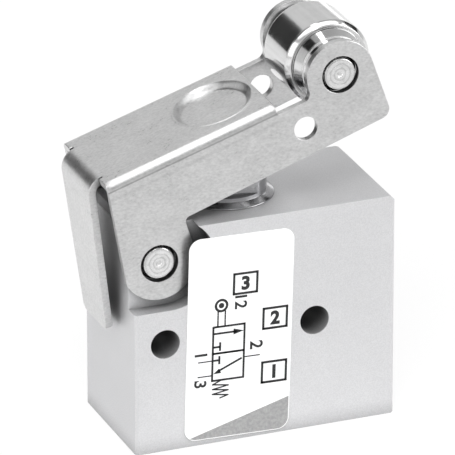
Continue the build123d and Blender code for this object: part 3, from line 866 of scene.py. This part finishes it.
class VALVE_OT_bush(bpy.types.Operator):
    """Makes the guide bush, with its two spanner flats"""

    bl_idname = "valve.guide_bush"
    bl_label = "Guide bush"

    def execute(self, context):
        steel = turned_steel()
        top, seat = bush_high[2] / mm, block_high[2] / mm
        low = bush_low[2] / mm
        lower = [
            (2.65, 22.2), (2.65, low), (3.85, low), (3.85, low + 0.6), (3.15, low + 0.6),
            (3.15, low + 1.6), (3.85, low + 1.6), (3.85, 19.4), (4.5, 19.4), (4.5, seat + 0.01),
            (5.1, seat + 0.01), (5.08, seat + 0.12), (4.4, seat + 0.5), (4.3, seat + 0.55),
            (4.3, seat + 0.95),
        ]
        upper = [(4.3, seat + 0.95), (4.3, top - 0.35), (3.95, top)]
        inner = [(1.55, top), (1.55, 24.0), (2.5, 24.0), (2.5, 22.2), (2.65, 22.2)]
        profile = np.vstack([softened(lower, 0.05), upper, inner])
        flats = np.zeros(len(profile), dtype=bool)
        start = len(profile) - len(upper) - len(inner)
        flats[start : start + len(upper)] = True
        segments = 192
        angle = np.linspace(0, 2 * pi, segments, endpoint=False)
        radius = np.broadcast_to(profile[:, :1], (len(profile), segments)).copy()
        limit = 3.7 / np.maximum(np.abs(np.sin(angle)), 1e-6)
        radius[flats] = np.minimum(radius[flats], limit)
        height = np.broadcast_to(profile[:, 1:], radius.shape)
        points = np.stack([radius * np.cos(angle), radius * np.sin(angle), height], -1)
        points = points.reshape(-1, 3) * mm + (plunger_axis_x, 0, 0)
        faces = grid_faces(len(profile), segments, closed_rows=True, closed_columns=True)
        add_mesh("guide_bush_turned", points, faces, "valve", steel, ["guide_bush"])
        smoothed(recoloured("plunger", steel))
        smoothed(recoloured("seal_washer", steel))
        return {"FINISHED"}


class VALVE_OT_inner_pieces(bpy.types.Operator):
    """Finishes the pieces inside the block, and winds the two springs"""

    bl_idname = "valve.inner_pieces"
    bl_label = "Inner pieces"

    def execute(self, context):
        metal, rubber, wire = brass(), nitrile_rubber(), spring_wire()
        for node in ("bottom_plug", "seat_insert", "poppet"):
            smoothed(recoloured(node, metal))
        for node in ("plug_o_ring", "seat_o_ring", "bush_o_ring", "plunger_seal", "poppet_disc"):
            smoothed(recoloured(node, rubber), 60.0)
        springs = (
            ("return_spring", "return_coil", 2.15, 0.25, 7.5, "plunger_slide"),
            ("poppet_spring", "poppet_coil", 1.75, 0.2, 4.5, "poppet_slide"),
        )
        for node, name, radius, thickness, turns, joint in springs:
            low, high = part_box(node)
            bottom, top = low[2] / mm, high[2] / mm
            points, faces = coil(radius, thickness, turns, bottom + 0.01, top - 0.02)
            piece = add_mesh(name, points, faces, "valve", wire, [node])
            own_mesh(piece)
        return {"FINISHED"}


def label_point(across, up, lift=0.0):
    """Place on the label's face, in millimetres from its middle, turned with it."""
    across, up = np.asarray(across, dtype=float), np.asarray(up, dtype=float)
    turn = radians(1.6)
    centre = (label_low + label_high) / 2
    x = across * cos(turn) + up * sin(turn)
    z = -across * sin(turn) + up * cos(turn)
    y = np.full(x.shape, label_low[1] / mm + 0.015 - lift)
    return np.stack([x, y, z], -1) * mm + (centre[0], 0, centre[2])


label_half_width, label_half_height, label_corner = 5.82, 11.35, 1.3
label_shift = -0.17


def label_outline(inset=0.0, steps=14):
    """Rectangle with round corners, as points (across, up) run anticlockwise."""
    radius = label_corner - inset
    wide, high = label_half_width - label_corner, label_half_height - label_corner
    corners = [
        arc((label_shift + wide * a, high * b), radius, start, start + pi / 2, steps)
        for a, b, start in ((1, 1, 0), (-1, 1, pi / 2), (-1, -1, pi), (1, -1, 1.5 * pi))
    ]
    return np.vstack(corners)


def strokes(lines, width):
    """Each line (x0, y0, x1, y1) becomes a strip of that width with square ends."""
    lines = np.asarray(lines, dtype=float)
    start, end = lines[:, :2], lines[:, 2:4]
    ahead = (end - start) / np.linalg.norm(end - start, axis=1, keepdims=True)
    side = np.stack([-ahead[:, 1], ahead[:, 0]], -1) * width / 2
    cap = ahead * width / 2
    corners = np.stack([start - cap - side, end + cap - side, end + cap + side, start - cap + side], 1)
    points = corners.reshape(-1, 2)
    faces = np.arange(len(points)).reshape(-1, 4).tolist()
    return points, faces


def frame_lines(left, low, right, high):
    """The four sides of a box."""
    return [(left, low, right, low), (right, low, right, high), (right, high, left, high),
            (left, high, left, low)]


def ring_strip(centre, inner, outer, steps=48):
    """Flat ring, or a disc if its inner radius is nought."""
    angle = np.linspace(0, 2 * pi, steps, endpoint=False)
    rows = [arc(centre, radius, 0, 2 * pi, steps + 1)[:-1] for radius in (inner, outer)]
    return np.vstack(rows), grid_faces(2, steps, closed_columns=True)


def numeral(text, centre, size, turn=0.0, bold=0.0):
    """Plain numeral in the built-in face, centred on a point of the label."""
    curve = bpy.data.curves.new("numeral", "FONT")
    curve.body, curve.size = text, size
    curve.align_x, curve.align_y = "CENTER", "CENTER"
    curve.offset = bold
    curve.resolution_u = 6
    carrier = bpy.data.objects.new("numeral", curve)
    bpy.context.scene.collection.objects.link(carrier)
    depsgraph = bpy.context.evaluated_depsgraph_get()
    mesh = bpy.data.meshes.new_from_object(carrier.evaluated_get(depsgraph))
    points = np.empty(len(mesh.vertices) * 3)
    mesh.vertices.foreach_get("co", points)
    points = points.reshape(-1, 3)[:, :2]
    points = points - (points.min(axis=0) + points.max(axis=0)) / 2
    c, s = cos(turn), sin(turn)
    points = points @ np.array([[c, s], [-s, c]]) + centre
    faces = [list(face.vertices) for face in mesh.polygons]
    bpy.data.objects.remove(carrier)
    bpy.data.curves.remove(curve)
    bpy.data.meshes.remove(mesh)
    return points, faces


class VALVE_OT_label(bpy.types.Operator):
    """Makes the label's film and its print: port numbers and the valve's symbol"""

    bl_idname = "valve.label"
    bl_label = "Port label"

    def execute(self, context):
        self.film()
        self.grey_corner()
        self.black_print()
        return {"FINISHED"}

    def film(self):
        """Front face, rounded rim and back, each ring of points joined to the next."""
        deep = (label_high[1] - label_low[1]) / mm
        rings = ((label_corner - 0.01, 0.0), (0.03, 0.0), (0.008, -0.012), (0.0, -0.04),
                 (0.0, -deep + 0.002), (label_corner - 0.01, -deep + 0.002))
        rows = [label_point(*label_outline(inset).T, lift) for inset, lift in rings]
        points, count = np.vstack(rows), len(rows[0])
        faces = grid_faces(len(rows), count, closed_columns=True)
        faces += [list(range(count)), list(range(len(points) - count, len(points)))]
        add_mesh("label_sheet", points, faces, "valve", label_film(), ["port_label"])

    def printed(self, name, flat, faces, finish):
        """Flat print laid just proud of the film."""
        points = label_point(flat[:, 0], flat[:, 1], 0.012)
        piece = add_mesh(name, points, faces, "valve", finish)
        return piece

    def grey_corner(self):
        """The part of the label below a line that rises to the right."""
        outline = label_outline(0.12)
        start, end = np.array((-5.44, -11.05)), np.array((5.53, -7.66))
        slope = (end - start)[1] / (end - start)[0]
        lower = outline[outline[:, 1] < start[1] + slope * (outline[:, 0] - start[0])]
        lower = lower[(lower[:, 0] > 0) | (lower[:, 1] < -11.1)]
        ring = np.vstack([start, lower[np.argsort(np.arctan2(lower[:, 0], -lower[:, 1] - 5))], end])
        self.printed("label_grey_corner", ring, [list(range(len(ring)))],
                     ink("grey_ink", colours().grey_ink))

    def black_print(self):
        line = sizes().print_line / mm
        boxes = ((-0.94, 4.72, 1.63, 6.95), (2.45, 0.36, 5.06, 2.62), (2.47, -5.73, 5.14, -3.46))
        box_lines = [side for box in boxes for side in frame_lines(*box)]
        symbol = frame_lines(-3.1, -1.72, 0.37, 1.27) + frame_lines(-3.1, -4.77, 0.37, -1.72)
        symbol += [
            (-3.0, 0.52, -0.6, 0.52),
            (-3.0, -1.0, -2.3, -1.0), (-2.3, -0.6, -2.3, -1.35),
            (0.05, -2.62, -2.35, -3.7),
            (-3.0, -2.5, -2.35, -2.5), (-2.35, -2.15, -2.35, -2.85),
        ]
        outside = [(-4.65, -2.5, -3.15, -2.5), (0.45, -2.5, 2.1, -2.5), (-4.65, -4.16, -3.15, -4.16),
                   (-4.65, -4.6, -5.0, -4.6)]
        tappet = [(x, high, x, high - 0.32) for x in (-2.62, -1.82) for high in (2.95, 2.45, 1.95, 1.6)]
        zigzag = np.array([(-2.1, -4.8), (-3.0, -5.2), (-1.3, -5.45), (-3.0, -5.75), (-1.3, -6.0),
                           (-3.0, -6.3), (-1.3, -6.55), (-2.15, -6.8)])
        zigzag = np.hstack([zigzag[:-1], zigzag[1:]])
        heads = np.array([(-0.85, 0.86), (-0.85, 0.18), (0.3, 0.52),
                          (-2.35, -3.45), (-2.1, -3.98), (-3.0, -4.02)])
        parts = [
            strokes(box_lines, line * 1.55),
            strokes(symbol, line * 1.35),
            strokes(outside, line * 0.8),
            strokes(tappet, line),
            strokes(zigzag, line * 0.95),
            (heads, [[0, 1, 2], [3, 4, 5]]),
            ring_strip((-2.27, 3.64), 0.49, 0.76),
            ring_strip((-2.27, 3.64), 0.0, 0.3),
            numeral("3", (0.35, 5.85), 2.0, bold=0.095),
            numeral("2", (3.76, 1.5), 2.0, bold=0.095),
            numeral("1", (3.8, -4.6), 2.0, bold=0.095),
            numeral("12", (-0.1, 3.75), 1.85, -pi / 2, 0.04),
            numeral("2", (1.75, -1.3), 1.95, -pi / 2, 0.04),
            numeral("1", (-4.4, -1.7), 1.95, -pi / 2, 0.04),
            numeral("3", (-4.4, -5.0), 1.85, -pi / 2, 0.04),
        ]
        parts = [(np.asarray(points), [list(face) for face in faces]) for points, faces in parts]
        points, faces = joined(*parts)
        self.printed("label_print", points, faces, ink("black_ink", colours().ink))


class VALVE_OT_studio(bpy.types.Operator):
    """Adds the floor, the lamps, the cards that polished metal reflects, and the camera"""

    bl_idname = "valve.studio"
    bl_label = "Studio"

    def execute(self, context):
        self.floor()
        self.world()
        self.lamps()
        self.camera()
        context.scene.view_settings.view_transform = "Standard"
        return {"FINISHED"}

    def floor(self):
        """Wide flat sheet, white to the camera and to reflections, with soft shadows."""
        reach = 3.0
        points = [(-reach, -reach, 0), (reach, -reach, 0), (reach, reach, 0), (-reach, reach, 0)]
        recipe = Recipe("studio_floor")
        grain = recipe.noise(recipe.place, 40.0, 2.0, 0.5)
        recipe.shade(colours().floor, recipe.spread(grain, 0.3, 0.7, 0.99, 1.0))
        recipe.finish(metal=0.0, roughness=0.9)
        seen = recipe.add("ShaderNodeLightPath").outputs
        mirrored = recipe.combine("MAXIMUM", seen["Is Glossy Ray"], seen["Is Transmission Ray"])
        mirrored = recipe.combine("MULTIPLY", mirrored, 0.35)
        direct = recipe.combine("MULTIPLY", seen["Is Camera Ray"], 0.85)
        share = recipe.combine("MAXIMUM", direct, mirrored)
        glow = recipe.add("ShaderNodeEmission", {0: (1, 1, 1, 1), 1: 1.03})
        values = {0: share, 1: recipe.shader.outputs[0], 2: glow.outputs[0]}
        mixed = recipe.add("ShaderNodeMixShader", values)
        recipe.put(recipe.tree.nodes["Material Output"].inputs[0], mixed.outputs[0])
        mesh = bpy.data.meshes.new("studio_floor")
        mesh.from_pydata(points, [], [(0, 1, 2, 3)])
        mesh.materials.append(recipe.material)
        sheet = bpy.data.objects.new("studio_floor", mesh)
        bpy.context.scene.collection.objects.link(sheet)
        sheet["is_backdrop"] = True

    def world(self):
        """Even soft light, seen white, with darker sky above for reflections."""
        world = bpy.data.worlds.new("studio_light")
        bpy.context.scene.world = world
        world.use_nodes = True
        tree = world.node_tree
        background = tree.nodes["Background"]
        seen = tree.nodes.new("ShaderNodeLightPath").outputs["Is Camera Ray"]
        place = tree.nodes.new("ShaderNodeTexCoord").outputs["Generated"]
        parts = tree.nodes.new("ShaderNodeSeparateXYZ")
        tree.links.new(place, parts.inputs[0])
        ramp = tree.nodes.new("ShaderNodeValToRGB")
        tree.links.new(parts.outputs["Z"], ramp.inputs[0])
        stops = ramp.color_ramp.elements
        stops[0].position, stops[0].color = 0.0, (0.9, 0.9, 0.9, 1)
        stops[1].position, stops[1].color = 1.0, (0.5, 0.5, 0.5, 1)
        mix = tree.nodes.new("ShaderNodeMix")
        mix.data_type = "RGBA"
        tree.links.new(seen, mix.inputs["Factor"])
        colour_inputs = [s for s in mix.inputs if s.type == "RGBA"]
        tree.links.new(ramp.outputs[0], colour_inputs[0])
        colour_inputs[1].default_value = (1, 1, 1, 1)
        output = [s for s in mix.outputs if s.type == "RGBA"][0]
        tree.links.new(output, background.inputs["Color"])
        background.inputs["Strength"].default_value = 0.75

    def lamps(self):
        self.lamp("key", (-0.35, -0.55, 0.75), 0.45, 7.0).visible_glossy = False
        self.lamp("fill", (0.6, -0.3, 0.35), 0.5, 1.8)
        self.card("dark_card_back", (-0.3, 0.54, 0.19), (0.34, 0.36), 0.04)
        self.card("dark_card_above", (-0.38, 0.14, 0.46), (0.52, 0.28), 0.02)
        self.card("dark_card_right", (0.55, 0.14, 0.3), (0.3, 0.3), 0.02)
        self.card("grey_card", (0.12, 0.56, 0.3), (0.54, 0.46), 0.66)
        self.card("white_card_low", (0.2, 0.6, 0.05), (0.7, 0.12), 1.4)
        self.card("white_card", (-0.05, -0.05, 0.62), (0.12, 1.14), 3.0, level=True)
        self.card("white_card_front", (-0.07, -0.17, 0.621), (1.16, 0.24), 1.6, level=True)
        self.card("white_card_left", (-0.6, -0.19, 0.24), (0.4, 0.34), 1.6)
        self.card("white_card_behind", (-0.04, 0.1, 0.001), (0.14, 0.1), 0.95, level=True)
        self.card("grey_card_front", (0.02, -0.17, 0.001), (0.3, 0.3), 0.8, level=True)

    def lamp(self, name, place, size, power):
        light = bpy.data.lights.new(name, "AREA")
        light.size, light.energy = size, power
        lamp = bpy.data.objects.new(name, light)
        lamp.location = place
        lamp.rotation_euler = (Vector((0, 0, 0.02)) - Vector(place)).to_track_quat("-Z", "Y").to_euler()
        bpy.context.scene.collection.objects.link(lamp)
        return lamp

    def card(self, name, place, size, tone, level=False):
        """Card of an even tone turned to the object, or lying flat, which is seen only
        in reflections."""
        wide, high = size[0] / 2, size[1] / 2
        flat = np.array([(-wide, -high, 0), (wide, -high, 0), (wide, high, 0), (-wide, high, 0)])
        aim = Vector((0, 0, -1)) if level else Vector((0, 0, 0.03)) - Vector(place)
        turn = aim.to_track_quat("-Z", "Y").to_matrix()
        points = flat @ np.array(turn).T + place
        mesh = bpy.data.meshes.new(name)
        mesh.from_pydata(points.tolist(), [], [(0, 1, 2, 3)])
        recipe = Recipe(name)
        cloud = recipe.spread(recipe.noise(recipe.place, 12.0), 0.3, 0.7, 0.85, 1.15)
        glow = recipe.add("ShaderNodeEmission", {0: (tone, tone, tone, 1), 1: cloud})
        recipe.put(recipe.tree.nodes["Material Output"].inputs[0], glow.outputs[0])
        mesh.materials.append(recipe.material)
        sheet = bpy.data.objects.new(name, mesh)
        sheet.visible_camera = False
        sheet.visible_diffuse = False
        sheet.visible_shadow = False
        bpy.context.scene.collection.objects.link(sheet)
        sheet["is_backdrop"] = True

    def camera(self):
        """Long lens at the photograph's angle: 22 degrees to the left of the near side
        and 24 degrees above it."""
        back = Vector((-0.33918, -0.85188, 0.39907))
        right = Vector((0.92907, -0.36991, 0))
        up = back.cross(right)
        turn = Matrix((right, up, back)).transposed().to_4x4()
        lens = bpy.data.cameras.new("camera")
        lens.sensor_width, lens.lens = 36.0, 557.0
        lens.clip_start, lens.clip_end = 0.05, 20.0
        camera = bpy.data.objects.new("camera", lens)
        camera.matrix_world = Matrix.Translation((-0.24913, -0.62249, 0.31222)) @ turn
        bpy.context.scene.collection.objects.link(camera)
        bpy.context.scene.camera = camera


class VALVE_PT_sidebar(bpy.types.Panel):
    """Lists the steps, sizes and colours in the sidebar"""

    bl_idname = "VALVE_PT_sidebar"
    bl_label = "Roller lever valve"
    bl_space_type = "VIEW_3D"
    bl_region_type = "UI"
    bl_category = "Valve"

    def draw(self, context):
        for step in steps:
            self.layout.operator(step.bl_idname)
        for group in (context.scene.valve_sizes, context.scene.valve_colours):
            box = self.layout.box()
            for name in group.bl_rna.properties.keys():
                if name not in ("rna_type", "name"):
                    box.prop(group, name)


steps = (
    VALVE_OT_block,
    VALVE_OT_lever,
    VALVE_OT_pins,
    VALVE_OT_roller,
    VALVE_OT_bush,
    VALVE_OT_inner_pieces,
    VALVE_OT_label,
    VALVE_OT_studio,
)
classes = (ValveSizes, ValveColours) + steps + (VALVE_PT_sidebar,)


def register():
    for kind in classes:
        bpy.utils.register_class(kind)
    bpy.types.Scene.valve_sizes = bpy.props.PointerProperty(type=ValveSizes)
    bpy.types.Scene.valve_colours = bpy.props.PointerProperty(type=ValveColours)


def unregister():
    del bpy.types.Scene.valve_colours
    del bpy.types.Scene.valve_sizes
    for kind in reversed(classes):
        bpy.utils.unregister_class(kind)


def main():
    register()
    bpy.ops.valve.block()
    bpy.ops.valve.lever()
    bpy.ops.valve.pins()
    bpy.ops.valve.roller()
    bpy.ops.valve.guide_bush()
    bpy.ops.valve.inner_pieces()
    bpy.ops.valve.label()
    bpy.ops.valve.studio()
    low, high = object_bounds()
    boxes = {"cad": [list(cad_low), list(cad_high)], "visual": [list(low), list(high)]}


if __name__ == "__main__":
    main()
